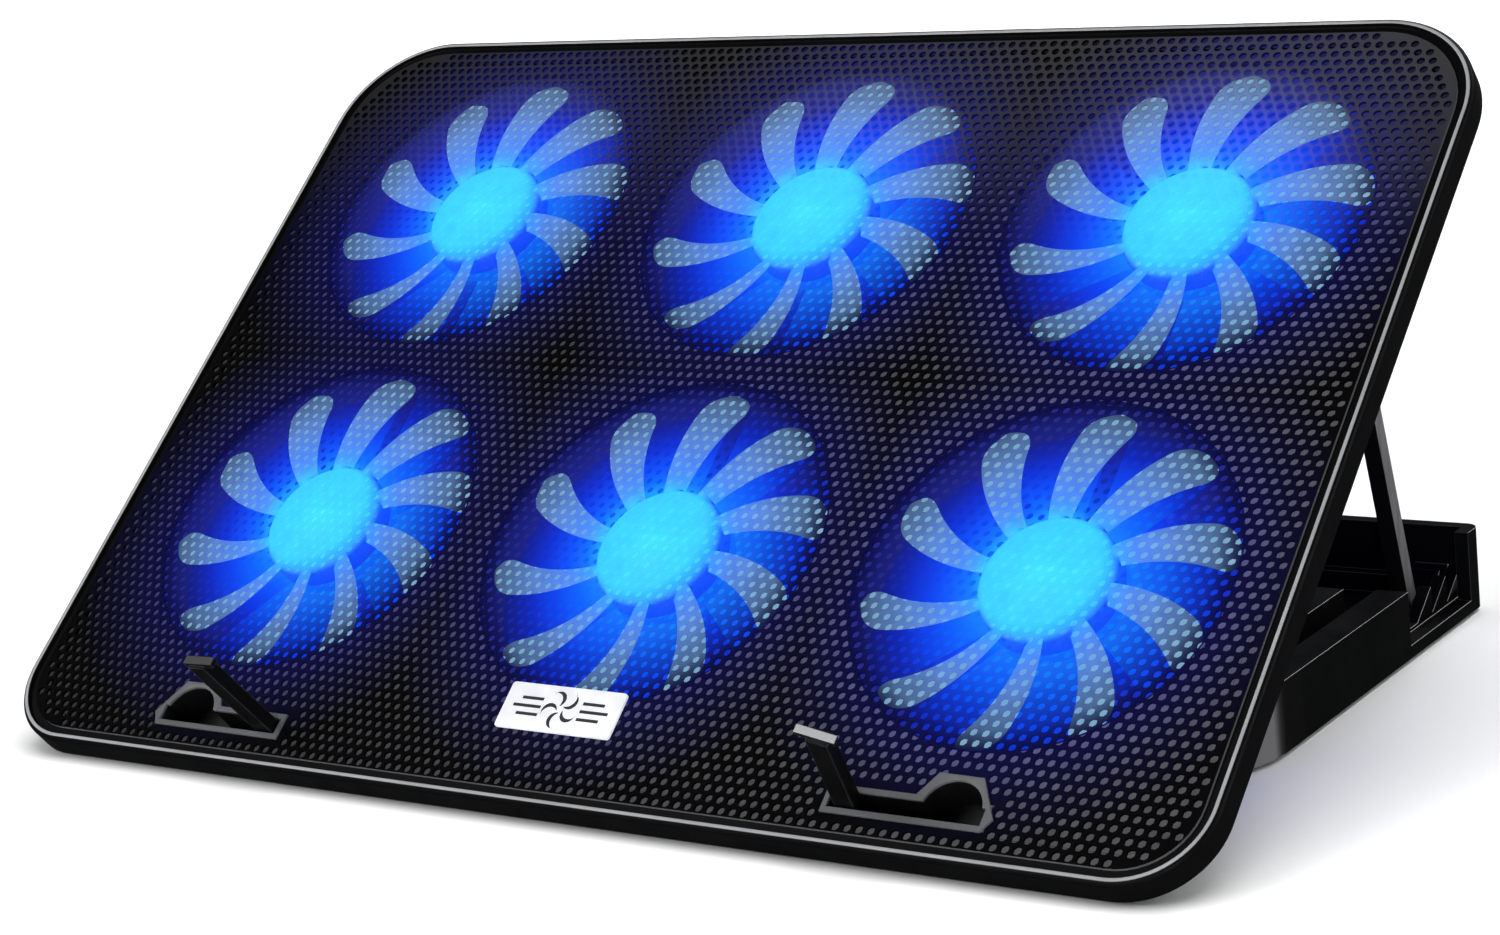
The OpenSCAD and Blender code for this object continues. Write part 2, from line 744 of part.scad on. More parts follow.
top_frame();
mesh_grille();
fan_deck();
intake_screens();
bottom_tray();
fan_frames();
fan_bearings();
fan_stators();
rotor(0);  // fan_rotor_1
rotor(1);  // fan_rotor_2
rotor(2);  // fan_rotor_3
rotor(3);  // fan_rotor_4
rotor(4);  // fan_rotor_5
rotor(5);  // fan_rotor_6
rotor_shaft(0);  // fan_shaft_1
rotor_shaft(1);  // fan_shaft_2
rotor_shaft(2);  // fan_shaft_3
rotor_shaft(3);  // fan_shaft_4
rotor_shaft(4);  // fan_shaft_5
rotor_shaft(5);  // fan_shaft_6
led_lamps();
fan_wires();
fan_screws();
control_board();
usb_ports();
dial_pot();
speed_dial();
stop_cup_left();
stop_cup_right();
stop_left();
stop_right();
stop_pins();
badge();
panel_screws();
hinge_pins();
prop_frame();
prop_shaft();
prop_feet();
base_shell();
base_plate();
base_feet();
base_screws();
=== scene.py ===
"""Looks of a tilting laptop cooling pad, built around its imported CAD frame.

Shapes are drawn in millimetres, mostly in the panel's own space: x across, v up the slope from the
front edge, and z out of the top face, so a depth under the face is a negative z.
"""

import json
import math

import bmesh
import bpy
from mathutils import Matrix, Vector
from mathutils.geometry import delaunay_2d_cdt

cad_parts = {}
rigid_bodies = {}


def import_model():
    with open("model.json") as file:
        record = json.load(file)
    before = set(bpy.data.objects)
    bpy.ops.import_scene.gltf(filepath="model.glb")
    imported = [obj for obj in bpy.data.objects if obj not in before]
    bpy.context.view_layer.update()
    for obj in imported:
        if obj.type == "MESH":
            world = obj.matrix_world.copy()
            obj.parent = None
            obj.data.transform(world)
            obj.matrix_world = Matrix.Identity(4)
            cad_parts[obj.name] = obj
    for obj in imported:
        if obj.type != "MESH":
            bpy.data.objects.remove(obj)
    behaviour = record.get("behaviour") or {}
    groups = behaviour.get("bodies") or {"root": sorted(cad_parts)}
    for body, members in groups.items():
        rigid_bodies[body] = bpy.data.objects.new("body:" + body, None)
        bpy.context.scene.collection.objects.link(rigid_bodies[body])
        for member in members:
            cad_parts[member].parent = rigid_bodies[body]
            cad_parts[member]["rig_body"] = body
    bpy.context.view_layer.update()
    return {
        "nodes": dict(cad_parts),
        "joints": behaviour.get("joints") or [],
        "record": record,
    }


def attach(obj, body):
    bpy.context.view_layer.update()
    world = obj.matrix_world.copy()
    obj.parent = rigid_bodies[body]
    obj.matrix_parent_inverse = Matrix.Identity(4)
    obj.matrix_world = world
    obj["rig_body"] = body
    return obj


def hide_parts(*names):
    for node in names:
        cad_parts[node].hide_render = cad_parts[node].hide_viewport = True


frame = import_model()

MM = 0.001
scene = bpy.context.scene
joints = {j["name"]: j for j in frame["joints"]}
mounts = {m["name"]: m for m in frame["record"]["mounts"]}

# ---------------------------------------------------------------- the panel's own space
REST_V = 138.0
REST_DEPTH = 0.6
ACROSS = Vector((1, 0, 0))
SLOPE = Vector(joints["stop_right_fold"]["axis"]).normalized()
NORMAL = Vector(joints["fan_1_spin"]["axis"]).normalized()
PANEL_ORIGIN = Vector(mounts["laptop_rest"]["pos_m"]) - SLOPE * REST_V * MM + NORMAL * REST_DEPTH * MM
PANEL = Matrix.Translation(PANEL_ORIGIN) @ Matrix((ACROSS, SLOPE, NORMAL)).transposed().to_4x4()
DESK = Matrix.Identity(4)


def in_panel(point):
    """A point of the row frame, in the panel's space, in millimetres."""
    return (PANEL.inverted() @ Vector(point)) / MM


# Sizes of the panel, the same as in the part's source.
PANEL_W = 383.0
PANEL_D = 264.0
TRAY_DEPTH = 16.0
EDGE_H = 8.0
FRONT_R = 23.5
REAR_R = 32.5
RIM_T = 2.2
GROOVE_W = 2.4
LEDGE_TOP = 1.4
LEDGE_BOTTOM = 3.4
LEDGE_IN = 9.0
SHEET_TOP = 0.6
FANS = [in_panel(joints[f"fan_{i}_spin"]["pos_m"]).xy for i in range(1, 7)]
FAN_PITCH_X = FANS[1].x - FANS[0].x
FAN_PITCH_V = FANS[3].y - FANS[0].y
STOP_X = in_panel(joints["stop_right_fold"]["pos_m"]).x
STOP_V = in_panel(joints["stop_right_fold"]["pos_m"]).y
BLADE_TIP_R = 50.5
HUB_R = 19.0


def srgb(r, g, b):
    """A screen colour of 0 to 255 as linear light."""
    def one(c):
        c /= 255
        return c / 12.92 if c <= 0.04045 else ((c + 0.055) / 1.055) ** 2.4
    return (one(r), one(g), one(b), 1.0)


# ---------------------------------------------------------------- material helper
class Paint:
    """A node material with one Principled surface, wired by short calls."""

    def __init__(self, name, color=(0.5, 0.5, 0.5, 1), rough=0.5, metal=0.0, specular=0.5):
        self.mat = bpy.data.materials.new(name)
        self.mat.use_nodes = True
        self.tree = self.mat.node_tree
        self.surface = next(n for n in self.tree.nodes if n.type == "BSDF_PRINCIPLED")
        self.mat.diffuse_color = color
        self.set("Base Color", color)
        self.set("Roughness", rough)
        self.set("Metallic", metal)
        self.set("Specular IOR Level", specular)
        self._object = None

    def feed(self, socket, value):
        if isinstance(value, bpy.types.NodeSocket):
            self.tree.links.new(value, socket)
        else:
            socket.default_value = value

    def set(self, name, value):
        self.feed(self.surface.inputs[name], value)
        return self

    def node(self, kind, inputs=None, **settings):
        n = self.tree.nodes.new(kind)
        for key, value in settings.items():
            setattr(n, key, value)
        for key, value in (inputs or {}).items():
            self.feed(n.inputs[key], value)
        return n

    def math(self, operation, a, b=0.0):
        return self.node("ShaderNodeMath", {0: a, 1: b}, operation=operation).outputs[0]

    def product(self, *values):
        """Shares multiplied together."""
        result = values[0]
        for value in values[1:]:
            result = self.math("MULTIPLY", result, value)
        return result

    def place(self):
        """Object coordinates, which stay with the piece at every pose."""
        if self._object is None:
            self._object = self.node("ShaderNodeTexCoord").outputs["Object"]
        return self._object

    def axes(self):
        """x, y and z of the place in millimetres."""
        scaled = self.node("ShaderNodeVectorMath", {0: self.place(), 3: 1 / MM}, operation="SCALE").outputs[0]
        out = self.node("ShaderNodeSeparateXYZ", {0: scaled}).outputs
        return out[0], out[1], out[2]

    def noise(self, size_mm, detail=4.0, rough=0.55, stretch=(1, 1, 1)):
        place = self.place()
        if stretch != (1, 1, 1):
            place = self.node("ShaderNodeVectorMath", {0: place, 1: stretch}, operation="MULTIPLY").outputs[0]
        settings = {"Vector": place, "Scale": 1 / (size_mm * MM), "Detail": detail, "Roughness": rough}
        return self.node("ShaderNodeTexNoise", settings).outputs[0]

    def ramp(self, value, stops, interpolation="LINEAR"):
        """stops are (position, colour) with colour a number or four numbers."""
        n = self.node("ShaderNodeValToRGB", {0: value})
        n.color_ramp.interpolation = interpolation
        elements = n.color_ramp.elements
        while len(elements) < len(stops):
            elements.new(1.0)
        for e, (position, colour) in zip(elements, stops):
            e.position = position
            e.color = colour if isinstance(colour, tuple) else (colour, colour, colour, 1)
        return n.outputs[0]

    def mix(self, share, a, b):
        n = self.node("ShaderNodeMix", data_type="RGBA")
        self.feed(n.inputs[0], share)
        self.feed(n.inputs[6], a)
        self.feed(n.inputs[7], b)
        return n.outputs[2]

    def bump(self, height, depth_mm, strength=1.0):
        inputs = {"Height": height, "Distance": depth_mm * MM, "Strength": strength}
        return self.node("ShaderNodeBump", inputs).outputs[0]

    def base_color(self):
        """What feeds the base colour so far, to paint over."""
        return self.surface.inputs["Base Color"].links[0].from_socket

    def own_normal(self):
        """The three parts of the object's own normal."""
        normal = self.node("ShaderNodeTexCoord").outputs["Normal"]
        return self.node("ShaderNodeSeparateXYZ", {0: normal}).outputs

    def glow(self, colour, strength=1.0):
        self.set("Emission Color", colour)
        self.set("Emission Strength", strength)
        return self


def edge_highlight_share(p):
    """A patchy share for a painted highlight on edges: 1 on sharp edges and 0 on flat faces."""
    soft = p.node("ShaderNodeBevel", {"Radius": 0.7 * MM}, samples=4).outputs[0]
    hard = p.node("ShaderNodeNewGeometry").outputs["Normal"]
    bend = p.node("ShaderNodeVectorMath", {0: soft, 1: hard}, operation="DOT_PRODUCT").outputs["Value"]
    patches = p.ramp(p.noise(9, 5), [(0.3, 0.35), (0.65, 1.0)])
    return p.product(p.ramp(bend, [(0.86, 1.0), (0.99, 0.0)]), patches)


def moulded(name, color, rough=0.42, grain_mm=0.35, grain_depth=0.02, specular=0.35, spread=0.1, edge=0.0):
    """Injection-moulded plastic: fine spark grain, slow cloudy gloss changes, and edges painted paler in
    patches as a highlight.
    """
    p = Paint(name, color, rough, specular=specular)
    cloud = p.noise(38, 3)
    dark = tuple(c * 0.72 for c in color[:3]) + (1,)
    light = tuple(min(1, c * 1.35 + 0.002) for c in color[:3]) + (1,)
    tone = p.mix(cloud, dark, light)
    if edge:
        # painted highlight: sharp edges painted paler in patches
        tone = p.mix(p.product(edge_highlight_share(p), edge), tone, (0.30, 0.305, 0.32, 1))
    p.set("Base Color", tone)
    gloss = p.ramp(p.noise(14, 6, 0.6), [(0.3, rough - spread), (0.7, rough + spread)])
    p.set("Roughness", gloss)
    grain = p.noise(grain_mm, 2, 0.5)
    p.set("Normal", p.bump(grain, grain_depth, 0.6))
    return p


def metal(name, color, rough=0.28, stretch=(1, 1, 1), brush_mm=0.5):
    """Drawn or ground metal with fine scratches along one axis."""
    p = Paint(name, color, rough, metal=1.0)
    lines = p.noise(brush_mm, 6, 0.6, stretch)
    dark = tuple(c * 0.7 for c in color[:3]) + (1,)
    p.set("Base Color", p.mix(p.ramp(p.noise(6, 5), [(0.35, 0.0), (0.7, 1.0)]), dark, color))
    p.set("Roughness", p.ramp(lines, [(0.3, rough - 0.1), (0.7, rough + 0.14)]))
    p.set("Normal", p.bump(lines, 0.01, 0.5))
    return p


def rubber(name):
    """Matt black rubber with a coarse grain."""
    color = (0.02, 0.02, 0.021, 1)
    return moulded(name, color, rough=0.78, grain_mm=0.5, grain_depth=0.05, specular=0.25, spread=0.08)


def fan_radius(p):
    """Distance to the nearest fan's axis, in millimetres, in the panel's space."""
    x, v, _ = p.axes()
    x = p.math("SUBTRACT", x, FANS[1].x)
    column = p.math("ROUND", p.math("DIVIDE", x, FAN_PITCH_X))
    column = p.math("MAXIMUM", p.math("MINIMUM", column, 1), -1)
    row = p.math("ROUND", p.math("DIVIDE", p.math("SUBTRACT", v, FANS[0].y), FAN_PITCH_V))
    row = p.math("MAXIMUM", p.math("MINIMUM", row, 1), 0)
    dx = p.math("SUBTRACT", x, p.math("MULTIPLY", column, FAN_PITCH_X))
    dv = p.math("SUBTRACT", v, p.math("ADD", p.math("MULTIPLY", row, FAN_PITCH_V), FANS[0].y))
    squares = p.math("ADD", p.math("MULTIPLY", dx, dx), p.math("MULTIPLY", dv, dv))
    return p.math("SQRT", squares)


GLOW_REACH = 80.0
REAR_SHEEN = 0.040
# strength of the painted grey highlight seen under the holes
UNDER_HOLE_HIGHLIGHT = 0.085
DECK_HOLE_R = 52.6
BLACK = (0, 0, 0, 1)

# How much light passes the sheet's web, and the painted lamp glow each layer is given, by the distance from
# the nearest hub in millimetres.
WEB_CLEAR = [(34, 0.76), (46, 0.58), (54, 0.0)]
WEB_LIGHT = [(0, srgb(22, 112, 130)), (16, srgb(20, 108, 140)), (19, srgb(8, 70, 160)),
             (24, srgb(7, 46, 148)), (30, srgb(6, 26, 126)), (37, srgb(6, 13, 98)), (44, srgb(6, 8, 72)),
             (50, srgb(6, 6, 56)), (56, srgb(8, 8, 56)), (64, srgb(6, 6, 38)), (79, BLACK)]
FAN_LIGHT = [(0, srgb(60, 205, 250)), (18, srgb(14, 120, 250)), (24, srgb(10, 86, 250)),
             (32, srgb(14, 58, 230)), (40, srgb(24, 44, 180)), (48, srgb(34, 40, 136)),
             (56, srgb(36, 38, 104)), (74, BLACK)]
FLOOR_LIGHT = [(0, srgb(40, 170, 250)), (28, srgb(14, 104, 250)), (36, srgb(10, 72, 240)),
               (44, srgb(14, 46, 200)), (50, srgb(22, 40, 164)), (56, srgb(28, 34, 120)), (74, BLACK)]
DECK_LIGHT = [(51, BLACK), (53, srgb(26, 26, 104)), (60, srgb(18, 18, 76)), (70, srgb(8, 8, 40)), (79, BLACK)]


def halo(p, stops):
    """A colour or share set by the distance from the nearest hub; stops are (millimetres, colour)."""
    r = p.math("DIVIDE", fan_radius(p), GLOW_REACH)
    return p.ramp(r, [(mm / GLOW_REACH, colour) for mm, colour in stops])


def toward_rear(p, start, end):
    """A share that grows from 0 to 1 between two places up the slope, in millimetres."""
    _, v, _ = p.axes()
    return p.ramp(p.math("DIVIDE", v, PANEL_D), [(start / PANEL_D, 0.0), (end / PANEL_D, 1.0)], "EASE")


def toward_right(p, least):
    """A share that grows from least at the left edge to 1 near the right edge."""
    x, _, _ = p.axes()
    return p.ramp(p.math("ADD", p.math("DIVIDE", x, PANEL_W), 0.5), [(0.0, least), (0.9, 1.0)])


def under_hole_highlight(p):
    """Painted grey highlight of what lies right under the holes, strongest at the front right."""
    front = p.math("SUBTRACT", 1.0, p.math("MULTIPLY", toward_rear(p, 160, 248), 0.92))
    cloud = p.ramp(p.noise(7, 3), [(0.3, 0.75), (0.7, 1.1)])
    return p.product(toward_right(p, 0.35), front, cloud, UNDER_HOLE_HIGHLIGHT)


def grey_of(p, value):
    """A number as a slightly cool grey."""
    return p.node("ShaderNodeCombineXYZ", {0: value, 1: value, 2: p.math("MULTIPLY", value, 1.06)}).outputs[0]


def added(p, a, b):
    return p.node("ShaderNodeVectorMath", {0: a, 1: b}, operation="ADD").outputs[0]


# ---------------------------------------------------------------- materials
def sheet_paint(name, sheen_power):
    """Black enamel; over a lit fan its fine web lets the light through, with a painted blue glow for the
    light it scatters and a painted grey sheen towards the rear right.
    """
    p = Paint(name, (0.002, 0.002, 0.0025, 1), 0.65, specular=0.03)
    p.set("Base Color", p.mix(p.noise(30, 3), (0.0015, 0.0015, 0.002, 1), (0.004, 0.004, 0.0045, 1)))
    p.set("Roughness", p.ramp(p.noise(11, 5), [(0.3, 0.55), (0.7, 0.75)]))
    p.set("Normal", p.bump(p.noise(0.4, 3), 0.02, 0.5))
    clear = p.node("ShaderNodeBsdfTransparent")
    surface = p.surface.outputs[0]
    mixed = p.node("ShaderNodeMixShader", {0: halo(p, WEB_CLEAR), 1: surface, 2: clear.outputs[0]})
    sheen = p.product(toward_rear(p, 180, 255), sheen_power, toward_right(p, 0.4))
    # painted light: a blue glow by the distance from a hub, plus a painted grey sheen towards the rear right
    light = p.node("ShaderNodeEmission", {0: added(p, halo(p, WEB_LIGHT), grey_of(p, sheen))})
    both = p.node("ShaderNodeAddShader", {0: mixed.outputs[0], 1: light.outputs[0]})
    output = next(n for n in p.tree.nodes if n.type == "OUTPUT_MATERIAL")
    p.feed(output.inputs["Surface"], both.outputs[0])
    return p


def sheet_border_paint():
    """The sheet's bare outer edge, with a faint painted glow for the thin line of light it catches in the
    groove.
    """
    p = Paint("sheet_border", (0.3, 0.3, 0.31, 1), 0.4, metal=0.3, specular=0.5)
    p.set("Base Color", p.mix(p.noise(9, 4), (0.16, 0.16, 0.17, 1), (0.34, 0.34, 0.35, 1)))
    p.glow((0.03, 0.03, 0.032, 1), 1.0)
    return p


def deck_paint(name):
    """What lies right under the holes: black plastic with a painted soft grey sheen, and a painted blue glow
    near a fan.
    """
    p = Paint(name, (0.003, 0.003, 0.0035, 1), 0.5, specular=0.05)
    p.set("Base Color", p.mix(p.noise(12, 4), (0.002, 0.002, 0.0025, 1), (0.005, 0.005, 0.006, 1)))
    p.set("Normal", p.bump(p.noise(0.5, 2), 0.03, 0.5))
    beyond_ring = p.math("GREATER_THAN", fan_radius(p), DECK_HOLE_R)
    # painted highlight: a grey glow beyond the fan rings, added to the painted lamp glow near a fan
    grey = p.math("MULTIPLY", under_hole_highlight(p), beyond_ring)
    p.glow(added(p, halo(p, DECK_LIGHT), grey_of(p, grey)))
    return p


def within_tray(p):
    """1 inside the tray and 0 on its underside, so the painted lamp glow stays where the lamps reach."""
    skin = 0.4
    above = p.math("ADD", p.axes()[2], TRAY_DEPTH - skin)
    return p.math("MINIMUM", p.math("MAXIMUM", above, 0.0), 1.0)


def lit_plastic_paint(name, base, power=1.0, light=FAN_LIGHT):
    """Dark plastic round a fan, with a painted blue glow for the lamps' light that fades with distance."""
    p = Paint(name, base, 0.5, specular=0.08)
    p.set("Base Color", p.mix(p.noise(12, 4), base, tuple(c * 1.6 for c in base[:3]) + (1,)))
    p.set("Normal", p.bump(p.noise(0.5, 2), 0.03, 0.5))
    p.glow(halo(p, light), p.product(within_tray(p), power))
    return p


def screen_paint():
    """Fine black cloth over an air intake, with its weave, and a painted glow for the light that falls on it
    from above.
    """
    p = lit_plastic_paint("screen_cloth", (0.004, 0.004, 0.005, 1), 1.0, FLOOR_LIGHT)
    weave = p.node("ShaderNodeTexChecker", {"Vector": p.place(), "Scale": 1600.0}).outputs[1]
    p.set("Normal", p.bump(weave, 0.08, 1.0))
    p.set("Roughness", p.ramp(weave, [(0.0, 0.7), (1.0, 0.9)]))
    return p


ROTOR_LIGHT = [(0.0, srgb(66, 232, 255)), (0.33, srgb(52, 206, 255)), (0.38, srgb(66, 176, 245)),
               (0.5, srgb(96, 160, 222)), (0.72, srgb(112, 162, 204)), (0.98, srgb(122, 166, 192))]


def rotor_paint():
    """Frosted pale-blue plastic with a painted glow for the lamps' light it carries from the hub to the blade
    tips.
    """
    p = Paint("rotor_glow", (0.05, 0.08, 0.12, 1), 0.4, specular=0.2)
    x, y, z = p.axes()
    squares = p.math("ADD", p.product(x, x), p.product(y, y))
    share = p.math("DIVIDE", p.math("SQRT", squares), BLADE_TIP_R)
    light = p.ramp(share, ROTOR_LIGHT)
    cloud = p.ramp(p.noise(5, 4), [(0.3, 0.85), (0.7, 1.05)])
    light = p.node("ShaderNodeVectorMath", {0: light, 1: cloud}, operation="MULTIPLY").outputs[0]
    on_hub = p.ramp(share, [((HUB_R + 0.14) / BLADE_TIP_R, 1.0), ((HUB_R + 0.24) / BLADE_TIP_R, 0.0)])
    deep = p.ramp(p.math("DIVIDE", p.product(z, -1), 10), [(0.40, 0.0), (0.55, 1.0)])
    p.glow(p.mix(p.product(on_hub, deep), light, srgb(4, 70, 235)))
    p.set("Normal", p.bump(p.noise(0.6, 3), 0.03, 0.5))
    return p


def lamp_paint():
    """Blue lamp lens, seen as part of the light it floods the fan with."""
    p = Paint("lamp_glow", (0.01, 0.03, 0.08, 1), 0.3, specular=0.1)
    lens = p.ramp(p.noise(1.2, 3), [(0.3, 0.9), (0.7, 1.15)])
    p.glow(p.node("ShaderNodeVectorMath", {0: halo(p, FAN_LIGHT), 3: lens}, operation="SCALE").outputs[0])
    return p


def rim_paint():
    """Black moulded rim whose crest is painted lighter than its side band, as a painted highlight."""
    p = moulded("rim_black", (0.0025, 0.0025, 0.003, 1), rough=0.42, specular=0.1, grain_mm=0.8)
    _, _, z = p.axes()
    # painted highlight: the crest is painted pale grey in patches
    crest = p.ramp(p.math("ADD", z, 1.0), [(0.90, 0.0), (0.97, 1.0)])
    crest_highlight = p.product(crest, p.ramp(p.noise(22, 4), [(0.3, 0.75), (0.7, 1.0)]))
    p.set("Base Color", p.mix(crest_highlight, p.base_color(), (0.6, 0.605, 0.62, 1)))
    return p


STOP_LEN = 38.5
LEAN_LEFT, LEAN_RIGHT = 4.0, -13.0
HEAD_T = 1.6
HEAD_HALF_W = 1.25
HEAD_TURN = 8
STOP_DEPTH = 6.5


def stop_axis(lean):
    """Direction of a stop's arm in the panel's space; lean is in degrees, more than 0 to the left."""
    return Vector((-math.sin(math.radians(lean)), 0, math.cos(math.radians(lean))))


def stop_paint(name, pivot_x, lean, shine):
    """Black arm whose head top carries a painted pale-grey highlight."""
    p = moulded(name, (0.002, 0.002, 0.0025, 1), rough=0.45, specular=0.12, edge=0.2)
    x, v, z = p.axes()
    arm = stop_axis(lean)
    sideways = p.product(p.math("SUBTRACT", x, pivot_x), arm.x)
    along = p.math("ADD", sideways, p.product(p.math("ADD", z, STOP_DEPTH), arm.z))
    in_head = p.math("GREATER_THAN", along, STOP_LEN - HEAD_T - 0.6)
    in_bar = p.math("LESS_THAN", p.math("ABSOLUTE", p.math("SUBTRACT", v, STOP_V)), HEAD_HALF_W)
    facing_up = p.ramp(p.own_normal()[2], [(0.55, 0.0), (0.9, 1.0)])
    # painted highlight: the head's upward faces are painted pale grey, as bright as shine
    top = p.product(in_head, in_bar, facing_up)
    p.set("Base Color", p.mix(top, p.base_color(), (shine, shine, shine * 1.03, 1)))
    return p


def prop_paint():
    """Black enamel arm whose outer sides carry a painted satin-grey highlight in streaks."""
    p = moulded("prop_black", (0.003, 0.003, 0.0035, 1), rough=0.36, grain_mm=1.2, specular=0.12)
    side = p.ramp(p.math("ABSOLUTE", p.own_normal()[0]), [(0.5, 0.0), (0.8, 1.0)])
    streak = p.ramp(p.noise(3, 5, 0.6, (1, 1, 0.1)), [(0.3, 0.55), (0.7, 1.0)])
    # painted highlight: the outer sides are painted satin grey in streaks
    p.set("Base Color", p.mix(p.product(side, streak), p.base_color(), (0.20, 0.20, 0.205, 1)))
    return p


def outward(p):
    """The object's own normal as (outward from the middle, along y, up)."""
    x, _, _ = p.axes()
    nx, ny, nz = p.own_normal()
    return p.product(nx, p.math("SIGN", x)), ny, nz


def base_paint():
    """Black moulded base with a soft upright sheen on its rounded front corners."""
    p = moulded("base_black", (0.004, 0.0042, 0.0045, 1), rough=0.55, grain_mm=0.6, specular=0.06)
    side, front, _ = outward(p)
    turned = p.ramp(side, [(0.5, 0.0), (0.8, 0.5), (0.95, 1.0), (0.985, 1.0), (0.998, 0.0)])
    forward = p.math("LESS_THAN", front, -0.02)
    p.glow(grey_of(p, p.product(turned, forward, 0.12)))
    return p


def base_edge_paint():
    """The base's rounded edges: dull with a faint painted glow, and a bright painted highlight along the
    outer upper edges of its sides.
    """
    p = moulded("base_edge", (0.05, 0.05, 0.052, 1), rough=0.4, grain_mm=0.6, specular=0.3)
    side, _, up = outward(p)
    diagonal = p.product(p.math("ADD", side, up), math.sqrt(0.5))
    upper = p.ramp(diagonal, [(0.78, 0.0), (0.93, 1.0)])
    # painted highlight: emission along the outer top edges, over a faint painted glow everywhere
    p.glow(grey_of(p, p.math("ADD", 0.018, p.product(upper, 0.8))))
    return p


def cup_paint():
    """Grey moulded trim round a cup whose well is black."""
    p = moulded("cup_grey", (0.15, 0.152, 0.16, 1), rough=0.45, grain_mm=0.5, specular=0.3)
    _, _, z = p.axes()
    well = p.ramp(p.math("ADD", p.math("DIVIDE", z, 4.0), 1.0), [(0.80, 1.0), (0.92, 0.0)])
    p.set("Base Color", p.mix(well, p.base_color(), (0.006, 0.006, 0.007, 1)))
    return p


def badge_paint():
    """White satin plate with fine brushing, as bright as the photograph's."""
    p = metal("badge_satin", (0.93, 0.935, 0.95, 1), rough=0.4, stretch=(0.06, 1, 1), brush_mm=0.35)
    p.set("Metallic", 0.0)
    # painted glow: the plate is given emission to brighten it, though it is no lamp
    p.glow((0.9, 0.92, 1.0, 1), 0.45)
    return p


def board_paint():
    """Green circuit board with pale tracks."""
    p = Paint("board_green", (0.02, 0.14, 0.06, 1), 0.3)
    inputs = {"Vector": p.place(), "Scale": 260.0, "Color1": (0.02, 0.15, 0.06, 1),
              "Color2": (0.03, 0.20, 0.08, 1), "Mortar": (0.35, 0.28, 0.10, 1)}
    tracks = p.node("ShaderNodeTexBrick", inputs)
    p.set("Base Color", tracks.outputs[0])
    return p


def winding_paint():
    """Enamelled copper wire, turn upon turn."""
    p = Paint("winding_copper", (0.6, 0.28, 0.12, 1), 0.32, metal=1.0)
    turns = p.node("ShaderNodeTexWave", {"Vector": p.place(), "Scale": 1400.0, "Distortion": 0.4},
                   bands_direction="Z").outputs[1]
    p.set("Base Color", p.mix(turns, (0.34, 0.13, 0.05, 1), (0.75, 0.36, 0.16, 1)))
    p.set("Normal", p.bump(turns, 0.08, 0.8))
    return p


sheet_face = sheet_paint("sheet_face", REAR_SHEEN)
sheet_wall = sheet_paint("sheet_wall", 0.0)
sheet_border = sheet_border_paint()
tray_lit = lit_plastic_paint("tray_lit", (0.010, 0.010, 0.012, 1), 0.9, FLOOR_LIGHT)
frame_lit = lit_plastic_paint("fan_frame_lit", (0.010, 0.014, 0.035, 1), 1.0)
rotor_glow = rotor_paint()
lamp_glow = lamp_paint()
rim_black = rim_paint()
deck_black = deck_paint("deck_black")
ledge_black = deck_paint("ledge_black")
wire_lit = lit_plastic_paint("wire_lit", (0.006, 0.006, 0.007, 1), 0.7)
screen_cloth = screen_paint()
# the heads' painted highlight: dim on the left stop, bright on the right
stop_dull = stop_paint("stop_dull", -STOP_X, LEAN_LEFT, 0.09)
stop_highlit = stop_paint("stop_highlit", STOP_X, LEAN_RIGHT, 0.6)
cup_grey = cup_paint()
base_black = base_paint()
base_edge = base_edge_paint()
plate_black = moulded("plate_black", (0.010, 0.010, 0.011, 1), rough=0.6, grain_mm=0.9, grain_depth=0.06)
prop_black = prop_paint()
grip_black = rubber("grip_black")
rubber_black = rubber("rubber_black")
pin_steel = metal("pin_steel", (0.62, 0.63, 0.65, 1), stretch=(0.1, 1, 1))
screw_steel = metal("screw_steel", (0.40, 0.41, 0.43, 1), rough=0.34)
port_steel = metal("port_steel", (0.66, 0.67, 0.70, 1), rough=0.2)
bronze = metal("bronze", (0.55, 0.36, 0.18, 1), rough=0.4)
badge_satin = badge_paint()
mark_ink = moulded("mark_ink", (0.03, 0.032, 0.036, 1), rough=0.5)
board_green = board_paint()
winding_copper = winding_paint()


# ---------------------------------------------------------------- mesh helpers
def finish_piece(obj, body, paints, replaced=(), smooth=35):
    """Paint and shade a piece, tie it to its body, and hide the CAD nodes it stands for."""
    obj.data.materials.clear()
    for paint in paints:
        obj.data.materials.append(paint.mat)
    obj.data.shade_smooth()
    obj.data.set_sharp_from_angle(angle=math.radians(smooth))
    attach(obj, body)
    if replaced:
        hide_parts(*replaced)
    return obj


def piece(name, verts, faces, body, paints, space=PANEL, replaced=(), smooth=35,
          face_paints=None, fix=True):
    """A new piece from points in millimetres of its own space; fix turns its faces outward."""
    mesh = bpy.data.meshes.new(name)
    mesh.from_pydata([Vector(v) * MM for v in verts], [], faces)
    if fix:
        bm = bmesh.new()
        bm.from_mesh(mesh)
        bmesh.ops.recalc_face_normals(bm, faces=bm.faces)
        bm.to_mesh(mesh)
        bm.free()
    obj = bpy.data.objects.new(name, mesh)
    scene.collection.objects.link(obj)
    obj.matrix_world = space
    finish_piece(obj, body, paints, replaced, smooth)
    if face_paints:
        mesh.polygons.foreach_set("material_index", face_paints)
    return obj


def add_bevel(obj, width_mm, segments, edge_paint):
    """Round an object's sharp edges, with a paint of their own if one is given."""
    m = obj.modifiers.new("bevel", "BEVEL")
    m.width = width_mm * MM
    m.segments = segments
    m.limit_method = "ANGLE"
    m.angle_limit = math.radians(40)
    m.harden_normals = True
    m.use_clamp_overlap = True
    if edge_paint:
        obj.data.materials.append(edge_paint.mat)
        m.material = 1


